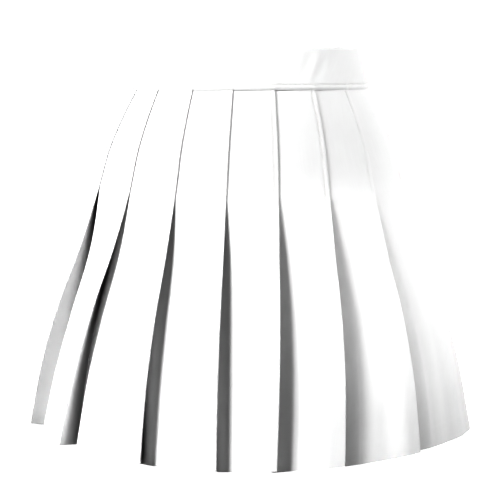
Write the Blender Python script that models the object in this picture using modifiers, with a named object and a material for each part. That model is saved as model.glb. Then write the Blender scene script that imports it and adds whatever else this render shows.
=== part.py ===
"""A white pleated mini skirt, filled out as it is worn: sixteen knife pleats, stitched
down over the hips, hang from a plain waistband that closes at the back with a zip.

Metres, +Z up. The front faces -Y. The origin is the middle of the waistband.
Every fold lies towards +X at the front, and the folds are counted that way round.
"""

import math
from collections import namedtuple
from functools import lru_cache

import bpy
import numpy as np
from mathutils import Matrix, Vector

# Sizes of the cut
BAND_HEIGHT = 0.042
PANEL_LENGTH = 0.372
STITCHED_LENGTH = 0.109
PLEATS = 16
UNDERLAY = 0.033
SEAM_GAP = 0.0003

# Height left between the waistband and the slanting top edges of the pleats
SEAM_CLEARANCE = 0.0008

# Thickness of the cloth and of what is sewn from it
CLOTH = 0.0010
BAND_CLOTH = 0.0024
BAND_COLUMNS = 73
LAYER_PITCH = 0.0015

# Where the fifth fold lies, right of the centre front, as a share of the fold spacing
FIFTH_FOLD_AT_SEAM = 0.567
FIFTH_FOLD_AT_RELEASE = 0.527

# How the pleats stand open at the hem
OPENING_POWER = 2.6
ROLL_TURNS_AT = 0.62
UNDERLAY_HANGS = 1.5

# The figure's sections: how far below the waist seam, half the width, and the depth
# in front of and behind the side line
Section = namedtuple("Section", "drop half_width front back")
BAND_TOP = Section(-BAND_HEIGHT, 0.1130, 0.0810, 0.0790)
SECTIONS = (
    Section(0.000, 0.1217, 0.0880, 0.0840),
    Section(0.022, 0.1335, 0.0890, 0.0895),
    Section(0.057, 0.1496, 0.0895, 0.0960),
    Section(0.105, 0.1640, 0.0910, 0.1010),
    Section(0.158, 0.1806, 0.1030, 0.1120),
    Section(0.222, 0.2050, 0.1200, 0.1270),
    Section(0.288, 0.2240, 0.1370, 0.1420),
    Section(0.324, 0.2312, 0.1450, 0.1500),
    Section(0.390, 0.2430, 0.1600, 0.1640),
)

# One row a fold. At the hem: its place in degrees from the centre front, how far its
# valley opens and how far the next panel lies behind the fold, both in millimetres, and
# how many degrees the return face swings in. At the seam: the cloth tucked under it
Fold = namedtuple("Fold", "hem_deg opens step swing_deg tucked")
FOLDS = {
    1: Fold(-84.0, 22, 12, 70, 38.5),
    2: Fold(-55.0, 26, 7, 70, 38.5),
    3: Fold(-27.1, 24, 9, 66, 38.5),
    4: Fold(-8.1, 17, 9, 74, 38.5),
    5: Fold(6.0, 19, 10, 81, 38.5),
    6: Fold(22.6, 21, 11, 82, 38.5),
    7: Fold(45.5, 26, 8, 76, 38.5),
    8: Fold(76.0, 24, 7, 76, 38.5),
    9: Fold(108.0, 22, 7, 76, 38.5),
    10: Fold(133.0, 24, 8, 78, 38.5),
    11: Fold(152.5, 20, 8, 74, 38.5),
    12: Fold(170.5, 22, 8, 76, 5.0),
    13: Fold(187.0, 18, 8, 74, 22.0),
    14: Fold(205.5, 23, 9, 78, 38.5),
    15: Fold(227.0, 25, 8, 76, 38.5),
    16: Fold(251.5, 21, 7, 74, 38.5),
}
SIDE_SEAM_FOLDS = (8, 16)
ZIP_FOLD = 12

# The zip
ZIP_BELOW_SEAM = 0.100
ZIP_BELOW_BAND_TOP = 0.002
SLIT = 0.0014
SLIT_ROLL = 0.007
TAPE_WIDTH = 0.013
TAPE_BEHIND_FOLD = 0.0033
TAPE_BEHIND_PANEL = 2 * LAYER_PITCH + CLOTH + 2 * SEAM_GAP
TAPE_CLEARS_SEAM = 0.009
SLIDER_BELOW_TOP = 0.010
SLIDER_BODY = (0.0066, 0.0020, 0.0090)
NECK = (0.0008, 0.0050)
PIN_RADIUS = 0.0006
PIN_LENGTH = 0.0054
PIN_STANDS_OFF = 0.0020
EAR_WALL = 0.0006
PULL_LENGTH = 0.020
PULL_WIDTH = 0.0052
PULL_THICKNESS = 0.0010
PULL_CLEARANCE = 0.0003
SWING_CLEARANCE = 0.0006

# Where the rows of points lie, along the cloth from the waist seam
STITCHED_ROWS = (SEAM_CLEARANCE, 0.034, 0.068, ZIP_BELOW_SEAM, STITCHED_LENGTH)
OPEN_BANDS = 8
OPEN_BANDS_POWER = 1.4
QUARTERS = (0.25, 0.5, 0.75)
ROUND_SIDES = 24

WHITE_CLOTH = ("white_cloth", (0.86, 0.86, 0.85), 0.85, 0.0)
WHITE_TAPE = ("zip_tape", (0.84, 0.84, 0.84), 0.80, 0.0)
NICKEL = ("nickel", (0.78, 0.77, 0.75), 0.30, 1.0)


# Sections of the figure

SLOPE_STEP = 0.001
DROPS = np.arange(0.0, 0.4401, 0.001)
TURN = np.radians(np.arange(-180.0, 541.0, 1.0))


def smooth(values, knots, heights):
    """A cubic curve through the table's points."""
    knots = np.array(knots)
    heights = np.array(heights)
    slopes = np.gradient(heights, knots)
    k = np.clip(np.searchsorted(knots, values, side="right") - 1, 0, len(knots) - 2)
    span = knots[k + 1] - knots[k]
    u = (values - knots[k]) / span
    return (
        (1 + 2 * u) * (1 - u) ** 2 * heights[k]
        + u * (1 - u) ** 2 * span * slopes[k]
        + u**2 * (3 - 2 * u) * heights[k + 1]
        - u**2 * (1 - u) * span * slopes[k + 1]
    )


def section_at(drop):
    """The figure's section at a level, from the band's straight wall or the table."""
    seam = SECTIONS[0]
    if np.all(drop < 0):
        share = drop / BAND_TOP.drop
        return Section(drop, *(s + share * (t - s) for s, t in zip(seam[1:], BAND_TOP[1:])))
    knots = [row.drop for row in SECTIONS]
    columns = [[row[k] for row in SECTIONS] for k in (1, 2, 3)]
    return Section(drop, *(smooth(drop, knots, column) for column in columns))


FIGURE = section_at(DROPS)


def depth_of(section, angle):
    return np.where(np.cos(angle) > 0, section.front, section.back)


def outline(section, angle):
    """The point of a section's outline at an angle from the centre front."""
    depth = depth_of(section, angle)
    return np.stack([section.half_width * np.sin(angle), -depth * np.cos(angle)], -1)


def outward(section, angle):
    depth = depth_of(section, angle)
    normal = np.stack([depth * np.sin(angle), -section.half_width * np.cos(angle)], -1)
    return normal / np.linalg.norm(normal, axis=-1, keepdims=True)


def arc_table(section):
    """Length along the outline at each angle of TURN, zero at the centre front."""
    points = outline(section, TURN)
    arcs = np.concatenate([[0], np.cumsum(np.linalg.norm(np.diff(points, axis=0), axis=1))])
    return arcs - np.interp(0.0, TURN, arcs)


def moved_along(section, angle, length):
    """The angle reached by going a length along the outline."""
    arcs = arc_table(section)
    return float(np.interp(np.interp(angle, TURN, arcs) + length, arcs, TURN))


def drop_for(angle, slant):
    """How far below the seam the cloth has come, a length down the figure's side."""
    if slant <= 0:
        return slant
    path = np.column_stack([outline(FIGURE, angle), -DROPS])
    lengths = np.concatenate([[0], np.cumsum(np.linalg.norm(np.diff(path, axis=0), axis=1))])
    return float(np.interp(slant, lengths, DROPS))


def level_of(drop):
    return -BAND_HEIGHT / 2 - drop


# Pleats


@lru_cache
def fold_angles_sewn(slant):
    """Fold angles in the stitched zone, where the folds are evenly spaced."""
    share = min(slant / STITCHED_LENGTH, 1.0)
    section = section_at(drop_for(0.0, slant))
    arcs = arc_table(section)
    spacing = (np.interp(2 * math.pi, TURN, arcs) - np.interp(0.0, TURN, arcs)) / PLEATS
    fifth = FIFTH_FOLD_AT_SEAM + share * (FIFTH_FOLD_AT_RELEASE - FIFTH_FOLD_AT_SEAM)
    return {k: float(np.interp((fifth + k - 5) * spacing, arcs, TURN)) for k in FOLDS}


def opening_at(slant):
    """How far down the open part a row lies, from 0 at the release to 1 at the hem."""
    return max(0.0, (slant - STITCHED_LENGTH) / (PANEL_LENGTH - STITCHED_LENGTH))


def fold_angle(number, slant):
    """The angle of a fold. Numbers outside the table go on round the skirt."""
    turns, index = divmod(number - 1, PLEATS)
    index += 1
    sewn = fold_angles_sewn(slant)[index]
    down = opening_at(slant)
    angle = sewn + down * (math.radians(FOLDS[index].hem_deg) - sewn)
    return angle + 2 * math.pi * turns


def on_cloth(angle, slant, height, leaning):
    """A point at a height over the figure. Cloth deep in an open pleat flares less than
    the fold above it, so it hangs lower."""
    drop = drop_for(angle, slant)
    section = section_at(drop)
    normal = outward(section, angle)
    plan = outline(section, angle)
    below = outline(section_at(drop + SLOPE_STEP), angle)
    flare = np.dot(below - plan, normal) / SLOPE_STEP
    hang = UNDERLAY_HANGS * height * flare * leaning
    return (*(plan + height * normal), level_of(drop) + hang)


class Pleat:
    """One fold at one row of the skirt: where its cloth turns, as a length along the
    outline from the fold, and as a height over the outline."""

    def __init__(self, number, slant):
        index = (number - 1) % PLEATS + 1
        self.row = FOLDS[index]
        self.slant = slant
        self.angle = fold_angle(number, slant)
        self.next_angle = fold_angle(number + 1, slant)
        self.section = section_at(drop_for(self.angle, slant))
        arcs = arc_table(self.section)
        self.spacing = np.interp(self.next_angle, TURN, arcs) - np.interp(self.angle, TURN, arcs)
        self.down = opening_at(slant)
        self.open = 1 - (1 - self.down) ** OPENING_POWER
        full_swing = math.radians(self.row.swing_deg)
        self.swing = math.acos(1 - (1 - math.cos(full_swing)) * self.down)
        beside_zip = slant <= ZIP_BELOW_SEAM
        self.at_slit = beside_zip and index == ZIP_FOLD
        level_start = CLOTH / 2 + SLIT + SLIT_ROLL if beside_zip and index == ZIP_FOLD + 1 else 0.0
        self.panel_slope = 2 * LAYER_PITCH / (self.spacing - level_start)
        tucked = self.row.tucked / 1000
        eased = 0.0 if beside_zip and tucked < UNDERLAY else min(slant / STITCHED_LENGTH, 1.0)
        self.width = tucked + eased * (UNDERLAY - tucked)

    def inner_fold(self):
        """The end of the return face, which swings inwards about the fold like a door.
        Where it is stitched down, it lies along the panel over it."""
        stack = self.panel_slope * self.width + LAYER_PITCH
        along = -self.width * math.cos(self.swing)
        height = -stack * math.cos(self.swing) - self.width * math.sin(self.swing)
        return np.array([along, height])

    def fold_points(self):
        """The fold's two corners, and the return face down to the inner fold."""
        corner = np.array([0.0, -LAYER_PITCH])
        face = [corner + share * (self.inner_fold() - corner) for share in (*QUARTERS, 1.0)]
        return self.placed([(0.0, 0.0), corner, *face])

    def start_points(self):
        """The hidden start of the next panel, and its soft roll out of the valley."""
        turn = LAYER_PITCH * np.array([math.sin(self.swing), -math.cos(self.swing)])
        start = self.inner_fold() + turn
        sewn = -2 * LAYER_PITCH * (1 - self.open)
        rolled = np.array([self.row.opens, -self.row.step]) / 1000 * self.open + (0.0, sewn)
        if self.at_slit:
            start = np.array([CLOTH / 2 + SLIT, -2 * LAYER_PITCH])
            rolled = start + (SLIT_ROLL, 0.0)
        corner = np.array([ROLL_TURNS_AT * rolled[0], rolled[1]])
        middle = (1 - self.open) * (start + rolled) / 2 + self.open * corner
        return [
            (1 - u) ** 2 * start + 2 * u * (1 - u) * middle + u**2 * rolled
            for u in (0.0, *QUARTERS, 1.0)
        ]

    def panel_points(self):
        """The next panel: its hidden start, its roll, and its face as far as its fold."""
        starts = self.start_points()
        along, height = starts[-1]
        first = moved_along(self.section, self.angle, along)
        face = []
        for share in QUARTERS:
            angle = first + share * (self.next_angle - first)
            lift = height * (1 - share) ** (1 + self.open)
            face.append(on_cloth(angle, self.slant, lift, self.open))
        return self.placed(starts) + face

    def placed(self, points):
        return [
            on_cloth(moved_along(self.section, self.angle, along), self.slant, height, self.open)
            for along, height in points
        ]


FOLD_COLUMNS = 3 + len(QUARTERS)
PANEL_COLUMNS = 2 + 2 * len(QUARTERS)


def return_columns(first_fold, last_fold):
    """The columns of a piece's grid that start a square of a return face."""
    pleats = range(last_fold - first_fold + 1)
    starts = [PANEL_COLUMNS + 1 + k * (PANEL_COLUMNS + FOLD_COLUMNS) for k in pleats]
    return {start + k for start in starts for k in range(FOLD_COLUMNS - 2)}


def skirt_rows():
    """The rows, closer together just below the release, where the pleats open fast."""
    shares = (np.arange(1, OPEN_BANDS + 1) / OPEN_BANDS) ** OPEN_BANDS_POWER
    return [*STITCHED_ROWS, *(STITCHED_LENGTH + shares * (PANEL_LENGTH - STITCHED_LENGTH))]


def skirt_grid(first_fold, last_fold):
    """Rows of points for one piece, from the inner fold where it starts to the one
    where it ends."""
    rows = []
    for slant in skirt_rows():
        row = Pleat(first_fold - 1, slant).panel_points()
        for number in range(first_fold, last_fold + 1):
            pleat = Pleat(number, slant)
            row += pleat.fold_points()
            if number < last_fold:
                row += pleat.panel_points()
        rows.append(row)
    return np.array(rows)


# Objects


def material(name, colour, roughness, metallic):
    found = bpy.data.materials.get(name)
    if found:
        return found
    made = bpy.data.materials.new(name)
    made.use_nodes = True
    shader = made.node_tree.nodes["Principled BSDF"]
    shader.inputs["Base Color"].default_value = (*colour, 1.0)
    shader.inputs["Roughness"].default_value = roughness
    shader.inputs["Metallic"].default_value = metallic
    made.diffuse_color = (*colour, 1.0)
    return made


def add_object(name, mesh, finish, collection):
    part = bpy.data.objects.new(name, mesh)
    part.data.materials.append(material(*finish))
    collection.objects.link(part)
    return part


def cloth_wall(name, grid, thickness, finish, collection, returns=()):
    """A wall of even thickness about a grid of points: rows down, columns round. The
    squares that run back under a fold are split along the other diagonal, so that
    their triangles lie parallel to those of the layer below them."""
    rows, columns = grid.shape[:2]
    triangles = []
    for r in range(rows - 1):
        for c in range(columns - 1):
            top = r * columns + c
            low = top + columns
            if c in returns:
                triangles += [(top, low, top + 1), (top + 1, low, low + 1)]
            else:
                triangles += [(top, low, low + 1), (top, low + 1, top + 1)]
    mesh = bpy.data.meshes.new(name)
    mesh.from_pydata(grid.reshape(-1, 3).tolist(), [], triangles)
    part = add_object(name, mesh, finish, collection)
    wall = part.modifiers.new("wall", "SOLIDIFY")
    wall.thickness = thickness
    wall.offset = 0.0
    wall.use_even_offset = True
    wall.use_quality_normals = True
    mesh.shade_smooth()
    mesh.set_sharp_from_angle(angle=math.radians(35))
    return part


def band_grid(first_angle, last_angle):
    """The waistband, from its end at the zip right round to its other end."""
    rows = []
    for drop in (BAND_TOP.drop, BAND_TOP.drop / 2, 0.0):
        section = section_at(drop)
        angles = np.linspace(first_angle, last_angle, BAND_COLUMNS)
        plan = outline(section, angles)
        rows.append(np.column_stack([plan, np.full(BAND_COLUMNS, level_of(drop))]))
    return np.array(rows)


def slit_angle(section, slant, side):
    """The angle of one edge of the zip's slit: side -1 at the fold, +1 past the slit."""
    edge = CLOTH / 2 if side < 0 else CLOTH / 2 + SLIT
    return moved_along(section, fold_angle(ZIP_FOLD, max(slant, 0.0)), edge)


def tape_grid(side):
    """One tape of the zip, behind its side of the slit."""
    behind_band = BAND_CLOTH / 2 + SEAM_GAP + CLOTH / 2
    behind_layers = TAPE_BEHIND_FOLD if side < 0 else TAPE_BEHIND_PANEL
    on_band = (ZIP_BELOW_BAND_TOP - BAND_HEIGHT, -BAND_HEIGHT / 2, -TAPE_CLEARS_SEAM)
    on_skirt = (-SEAM_CLEARANCE, *STITCHED_ROWS[1:4])
    rows = []
    for slant in (*on_band, *on_skirt):
        fold = fold_angle(ZIP_FOLD, max(slant, 0.0))
        section = section_at(drop_for(fold, slant))
        edge = slit_angle(section, slant, side)
        height = -behind_band if slant in on_band else -behind_layers
        angles = [moved_along(section, edge, side * TAPE_WIDTH * share) for share in (0, 0.5, 1)]
        angles.sort()
        plan = np.array([outline(section, a) + height * outward(section, a) for a in angles])
        level = level_of(section.drop)
        rows.append(np.column_stack([plan, np.full(len(plan), level)]))
    return np.array(rows)


def block(size, centre):
    bpy.ops.mesh.primitive_cube_add(size=1.0)
    made = bpy.context.object
    made.data.transform(Matrix.Translation(centre) @ Matrix.Diagonal((*size, 1.0)))
    return made


def rod(radius, length, centre, axis):
    """A cylinder along the local axis named by a letter."""
    turn = {"x": Matrix.Rotation(math.pi / 2, 4, "Y"), "y": Matrix.Rotation(math.pi / 2, 4, "X")}
    bpy.ops.mesh.primitive_cylinder_add(vertices=ROUND_SIDES, radius=radius, depth=length)
    made = bpy.context.object
    made.data.transform(Matrix.Translation(centre) @ turn[axis])
    return made


def combined(name, base, others, finish, collection, operation="UNION"):
    """One mesh from a base and the pieces joined to it or cut from it."""
    for other in others:
        step = base.modifiers.new("step", "BOOLEAN")
        step.operation = operation
        step.solver = "EXACT"
        step.object = other
        graph = bpy.context.evaluated_depsgraph_get()
        mesh = bpy.data.meshes.new_from_object(base.evaluated_get(graph))
        base.modifiers.clear()
        base.data = mesh
        bpy.data.objects.remove(other)
    mesh = base.data
    mesh.name = name
    bpy.data.objects.remove(base)
    return add_object(name, mesh, finish, collection)


def slider_frame():
    """The place of the pull's pin: X along its axis, Z up along the band, -Y outwards."""
    drop = SLIDER_BELOW_TOP - BAND_HEIGHT
    section = section_at(drop)
    angle = moved_along(section, slit_angle(section, drop, -1), SLIT / 2)
    normal = outward(section, angle)
    below = section_at(drop + SLOPE_STEP)
    away = float(np.dot(outline(below, angle) - outline(section, angle), normal))
    lean = -math.atan2(away, SLOPE_STEP)
    place = Vector((*outline(section, angle), level_of(drop)))
    yaw = math.atan2(normal[1], normal[0]) + math.pi / 2
    return Matrix.Translation(place) @ Matrix.Rotation(yaw, 4, "Z") @ Matrix.Rotation(lean, 4, "X")


def zip_slider(frame, collection):
    """The body runs inside the tapes, and its neck comes out through the slit."""
    inner = BAND_CLOTH / 2 + SEAM_GAP + CLOTH + SEAM_GAP
    body = block(SLIDER_BODY, (0, inner + SLIDER_BODY[1] / 2, 0))
    outer = BAND_CLOTH / 2 + PIN_STANDS_OFF
    reach = inner + SLIDER_BODY[1] / 2 + outer + PIN_RADIUS * 2
    neck = block(
        (NECK[0], reach, NECK[1]), (0, inner + SLIDER_BODY[1] / 2 - reach / 2, 0)
    )
    pin = rod(PIN_RADIUS, PIN_LENGTH, (0, -outer, 0), "x")
    part = combined("zip_slider", body, [neck, pin], NICKEL, collection)
    part.matrix_world = frame
    return part


def zip_pull(frame, collection):
    """A tab that hangs from two ears on the pin. Its origin is the pin's middle."""
    ear_gap = NECK[0] + 2 * PULL_CLEARANCE
    ear = PIN_RADIUS + PULL_CLEARANCE + EAR_WALL
    tab = block(
        (PULL_WIDTH, PULL_THICKNESS, PULL_LENGTH - PULL_WIDTH / 2),
        (0, 0, -(PULL_LENGTH - PULL_WIDTH / 2) / 2),
    )
    foot = rod(PULL_WIDTH / 2, PULL_THICKNESS, (0, 0, -PULL_LENGTH + PULL_WIDTH / 2), "y")
    eye = rod(ear, PULL_WIDTH - 2 * PULL_CLEARANCE, (0, 0, 0), "x")
    part = combined("pull_blank", tab, [foot, eye], NICKEL, collection)
    cutter = 2 * PULL_WIDTH
    hole = rod(PIN_RADIUS + PULL_CLEARANCE, cutter, (0, 0, 0), "x")
    slot = block((ear_gap, cutter, NECK[1] + 2 * SWING_CLEARANCE), (0, 0, 0))
    part = combined("zip_pull", part, [hole, slot], NICKEL, collection, "DIFFERENCE")
    stand = Vector((0, -(BAND_CLOTH / 2 + PIN_STANDS_OFF), 0))
    part.matrix_world = frame @ Matrix.Translation(stand)
    return part


def main():
    for old in list(bpy.data.objects):
        bpy.data.objects.remove(old)
    skirt = bpy.data.collections.new("pleated_skirt")
    bpy.context.scene.collection.children.link(skirt)

    side_left, side_right = SIDE_SEAM_FOLDS
    pieces = {
        "skirt_front": (side_right + 1 - PLEATS, side_left),
        "skirt_back_left": (side_left + 1, ZIP_FOLD),
        "skirt_back_right": (ZIP_FOLD + 1, side_right),
    }
    for name, (first, last) in pieces.items():
        grid = skirt_grid(first, last)
        cloth_wall(name, grid, CLOTH, WHITE_CLOTH, skirt, return_columns(first, last))

    seam = section_at(0.0)
    start = slit_angle(seam, 0.0, 1)
    end = slit_angle(seam, 0.0, -1) + 2 * math.pi
    cloth_wall("waistband", band_grid(start, end), BAND_CLOTH, WHITE_CLOTH, skirt)

    cloth_wall("zip_tape_left", tape_grid(-1), CLOTH, WHITE_TAPE, skirt)
    cloth_wall("zip_tape_right", tape_grid(1), CLOTH, WHITE_TAPE, skirt)
    frame = slider_frame()
    zip_slider(frame, skirt)
    zip_pull(frame, skirt)


main()
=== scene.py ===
# %% [markdown]
# # A white pleated skirt
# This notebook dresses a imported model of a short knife-pleated skirt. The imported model
# is the fixed frame: each piece that is made here lies where a solid of the frame lies,
# and has the same form, only finer. Metres are used all through, Z is up, and the front
# of the skirt faces -Y.

# %% Load the frame
import math
from collections import namedtuple
from functools import lru_cache

import bpy
import numpy as np
from mathutils import Matrix, Vector


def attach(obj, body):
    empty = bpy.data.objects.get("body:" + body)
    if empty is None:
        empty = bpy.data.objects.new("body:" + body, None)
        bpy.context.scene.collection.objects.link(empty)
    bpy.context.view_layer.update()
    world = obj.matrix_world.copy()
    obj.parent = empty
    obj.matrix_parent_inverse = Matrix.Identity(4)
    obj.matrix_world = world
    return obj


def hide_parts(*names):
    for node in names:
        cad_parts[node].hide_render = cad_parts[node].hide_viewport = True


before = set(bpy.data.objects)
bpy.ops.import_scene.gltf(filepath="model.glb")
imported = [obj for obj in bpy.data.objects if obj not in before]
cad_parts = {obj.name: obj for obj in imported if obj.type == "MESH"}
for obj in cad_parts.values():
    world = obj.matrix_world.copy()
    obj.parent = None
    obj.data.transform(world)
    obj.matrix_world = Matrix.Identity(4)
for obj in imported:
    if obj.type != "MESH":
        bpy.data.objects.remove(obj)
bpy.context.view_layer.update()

print("nodes:", sorted(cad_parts))

# %% [markdown]
# ## Camera
# The skirt was seen from close by, with the eye at the height of its waistband, so the
# hem curves down strongly while the waistband is nearly level. That needs a camera at a
# real distance of 1.4 m that looks down a little, rather than one far away.

# %% Camera
PICTURE = 502
EYE_DISTANCE = 1.42
EYE_HEIGHT = -0.001
LOOKS_AT_DROP = 0.190
FOCAL_PIXELS = 1355
SENSOR = 36.0

camera_data = bpy.data.cameras.new("eye")
camera_data.sensor_width = SENSOR
camera_data.lens = SENSOR * FOCAL_PIXELS / PICTURE
camera_data.clip_start = 0.05
camera_data.clip_end = 50.0
camera = bpy.data.objects.new("eye", camera_data)
bpy.context.scene.collection.objects.link(camera)
camera.location = (0.0, -EYE_DISTANCE, EYE_HEIGHT)
camera.rotation_euler = (math.pi / 2 - math.atan2(LOOKS_AT_DROP, EYE_DISTANCE), 0.0, 0.0)
bpy.context.scene.camera = camera
print("lens", round(camera_data.lens, 1), "mm")

# %% [markdown]
# ## The figure that fills the skirt
# A worn skirt takes its form from the body inside it. Here that is a smooth general
# figure: a table of level sections, each an oval with its own depth in front and behind,
# and a cubic curve through the table. The pleats are laid on it, so the table, the fold
# positions and the lengths are those of the frame.

# %% Sizes of the skirt
BAND_HEIGHT = 0.042
PANEL_LENGTH = 0.372
STITCHED_LENGTH = 0.109
PLEATS = 16
UNDERLAY = 0.033
FIFTH_FOLD_AT_SEAM = 0.567
FIFTH_FOLD_AT_RELEASE = 0.527

Section = namedtuple("Section", "drop half_width front back")
BAND_TOP = Section(-BAND_HEIGHT, 0.1130, 0.0810, 0.0790)
SECTIONS = (
    Section(0.000, 0.1217, 0.0880, 0.0840),
    Section(0.022, 0.1335, 0.0890, 0.0895),
    Section(0.057, 0.1496, 0.0895, 0.0960),
    Section(0.105, 0.1640, 0.0910, 0.1010),
    Section(0.158, 0.1806, 0.1030, 0.1120),
    Section(0.222, 0.2050, 0.1200, 0.1270),
    Section(0.288, 0.2240, 0.1370, 0.1420),
    Section(0.324, 0.2312, 0.1450, 0.1500),
    Section(0.390, 0.2430, 0.1600, 0.1640),
)

Fold = namedtuple("Fold", "hem_deg opens step swing_deg tucked")
FOLDS = {
    1: Fold(-84.0, 22, 12, 70, 38.5),
    2: Fold(-55.0, 26, 7, 70, 38.5),
    3: Fold(-27.1, 24, 9, 66, 38.5),
    4: Fold(-8.1, 17, 9, 74, 38.5),
    5: Fold(6.0, 19, 10, 81, 38.5),
    6: Fold(22.6, 21, 11, 82, 38.5),
    7: Fold(45.5, 26, 8, 76, 38.5),
    8: Fold(76.0, 24, 7, 76, 38.5),
    9: Fold(108.0, 22, 7, 76, 38.5),
    10: Fold(133.0, 24, 8, 78, 38.5),
    11: Fold(152.5, 20, 8, 74, 38.5),
    12: Fold(170.5, 22, 8, 76, 5.0),
    13: Fold(187.0, 18, 8, 74, 22.0),
    14: Fold(205.5, 23, 9, 78, 38.5),
    15: Fold(227.0, 25, 8, 76, 38.5),
    16: Fold(251.5, 21, 7, 74, 38.5),
}
LAST_FRONT_FOLD = 8
ZIP_FOLD = 12
print("pleats:", len(FOLDS), "panel length:", PANEL_LENGTH)

# %% The figure's sections
DROPS = np.arange(0.0, 0.4401, 0.001)
TURN = np.radians(np.arange(-180.0, 541.0, 1.0))


def smooth(values, knots, heights):
    """A cubic curve through a table's points."""
    knots = np.array(knots)
    heights = np.array(heights)
    slopes = np.gradient(heights, knots)
    k = np.clip(np.searchsorted(knots, values, side="right") - 1, 0, len(knots) - 2)
    span = knots[k + 1] - knots[k]
    u = (values - knots[k]) / span
    return (
        (1 + 2 * u) * (1 - u) ** 2 * heights[k]
        + u * (1 - u) ** 2 * span * slopes[k]
        + u**2 * (3 - 2 * u) * heights[k + 1]
        - u**2 * (1 - u) * span * slopes[k + 1]
    )


def section_at(drop):
    """The figure's section a drop below the waist seam, and above it the band's."""
    seam = SECTIONS[0]
    if np.all(drop < 0):
        share = drop / BAND_TOP.drop
        return Section(drop, *(s + share * (t - s) for s, t in zip(seam[1:], BAND_TOP[1:])))
    knots = [row.drop for row in SECTIONS]
    columns = [[row[k] for row in SECTIONS] for k in (1, 2, 3)]
    return Section(drop, *(smooth(drop, knots, column) for column in columns))


def depth_of(section, angle):
    return np.where(np.cos(angle) > 0, section.front, section.back)


def outline(section, angle):
    depth = depth_of(section, angle)
    return np.stack([section.half_width * np.sin(angle), -depth * np.cos(angle)], -1)


def outward(section, angle):
    depth = depth_of(section, angle)
    normal = np.stack([depth * np.sin(angle), -section.half_width * np.cos(angle)], -1)
    return normal / np.linalg.norm(normal, axis=-1, keepdims=True)


def running_length(points):
    """Lengths along rows of points, from the first point of each row."""
    steps = np.linalg.norm(np.diff(points, axis=-2), axis=-1)
    return np.concatenate([np.zeros((*steps.shape[:-1], 1)), np.cumsum(steps, axis=-1)], axis=-1)


def arc_table(section):
    """Length along a section's outline at each angle of TURN."""
    arcs = running_length(outline(section, TURN))
    return arcs - np.interp(0.0, TURN, arcs)


def moved_along(section, angle, length):
    arcs = arc_table(section)
    return np.interp(np.interp(angle, TURN, arcs) + length, arcs, TURN)


def level_of(drop):
    return -BAND_HEIGHT / 2 - drop


def step_between(value, low, high):
    """0 below low, 1 above high, and a soft step between."""
    t = np.clip((value - low) / (high - low), 0.0, 1.0)
    return t * t * (3 - 2 * t)


FIGURE = section_at(DROPS)
girth = arc_table(section_at(0.0))
print("waist seam", round(float(np.interp(2 * math.pi, TURN, girth)), 3), "m round")

# %% Drops at a length down the cloth
UNDERLAY_HANGS = 1.5
by_drop = Section(*(column[:, None] for column in FIGURE))
plans = outline(by_drop, TURN)
drops_down = np.broadcast_to(-by_drop.drop, plans.shape[:2])
FIGURE_LENGTHS = running_length(np.dstack([plans, drops_down]).swapaxes(0, 1))


@lru_cache(maxsize=None)
def drops_round(slant):
    """How far below the seam the cloth has come after a length down it, all round."""
    return np.array([np.interp(slant, lengths, DROPS) for lengths in FIGURE_LENGTHS])


def drop_for(angle, slant):
    if slant <= 0:
        return slant + 0.0 * np.asarray(angle)
    return np.interp(angle, TURN, drops_round(slant))


def on_cloth(angle, slant, height, leaning):
    """Points at heights over the figure. Cloth deep in an open pleat flares less than
    the fold above it, so it hangs lower."""
    drop = drop_for(angle, slant)
    section = section_at(drop)
    normal = outward(section, angle)
    plan = outline(section, angle)
    flare = ((outline(section_at(drop + 0.001), angle) - plan) * normal).sum(-1) / 0.001
    hang = UNDERLAY_HANGS * height * flare * leaning
    place = plan + np.asarray(height)[..., None] * normal
    return np.concatenate([place, (level_of(drop) + hang)[..., None]], -1)


print("drop of the hem at the centre front:", round(float(drop_for(0.0, PANEL_LENGTH)), 4))

# %% [markdown]
# ## Knife pleats
# A knife pleat is a flat panel, a sharp fold, a strip that runs back under the panel, and
# a second fold hidden inside, from which the cloth comes out again as the next panel. All
# sixteen fold the same way. Over the hips they are stitched shut, so the layers lie flat
# on each other. Below, each inner strip swings in like a door, and the next panel rolls
# out of the valley in a soft curve. The cloth is thinner here than the frame's walls, and
# its folds are rounded, as pressed cloth is.

# %% Where the folds lie
CLOTH = 0.00034
SEWN_PITCH = 0.00058
HEM_PITCH = 0.0016
FRAME_CLOTH = 0.0010
SLIT = 0.0014
TURNED_IN = 0.006
TURNED_SHARES = (1.0, 0.5, 0.04)
SLIT_ROLL = 0.007
ZIP_BELOW_SEAM = 0.100


@lru_cache(maxsize=None)
def fold_angles_sewn(slant):
    share = min(max(slant, 0.0) / STITCHED_LENGTH, 1.0)
    section = section_at(float(drop_for(0.0, slant)))
    arcs = arc_table(section)
    spacing = (np.interp(2 * math.pi, TURN, arcs) - np.interp(0.0, TURN, arcs)) / PLEATS
    fifth = FIFTH_FOLD_AT_SEAM + share * (FIFTH_FOLD_AT_RELEASE - FIFTH_FOLD_AT_SEAM)
    return {k: float(np.interp((fifth + k - 5) * spacing, arcs, TURN)) for k in FOLDS}


def opening_at(slant):
    return max(0.0, (slant - STITCHED_LENGTH) / (PANEL_LENGTH - STITCHED_LENGTH))


def fold_angle(number, slant):
    turns, index = divmod(number - 1, PLEATS)
    index += 1
    sewn = fold_angles_sewn(slant)[index]
    down = opening_at(slant)
    angle = sewn + down * (math.radians(FOLDS[index].hem_deg) - sewn)
    return angle + 2 * math.pi * turns


for number in (1, 5, 9, 13):
    print("fold", number, "at the hem:", round(math.degrees(fold_angle(number, PANEL_LENGTH)), 1))

# %% [markdown]
# ## Soft waves in the panels
# Cloth that hangs free is never quite flat. Below the stitching, each panel has one or two
# shallow vertical waves, uneven in place, width and depth. Along the stitching the cloth
# is drawn in a little, with small puckers beside the thread. Both are small changes of
# height, added before the cloth is laid on the figure.

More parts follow.
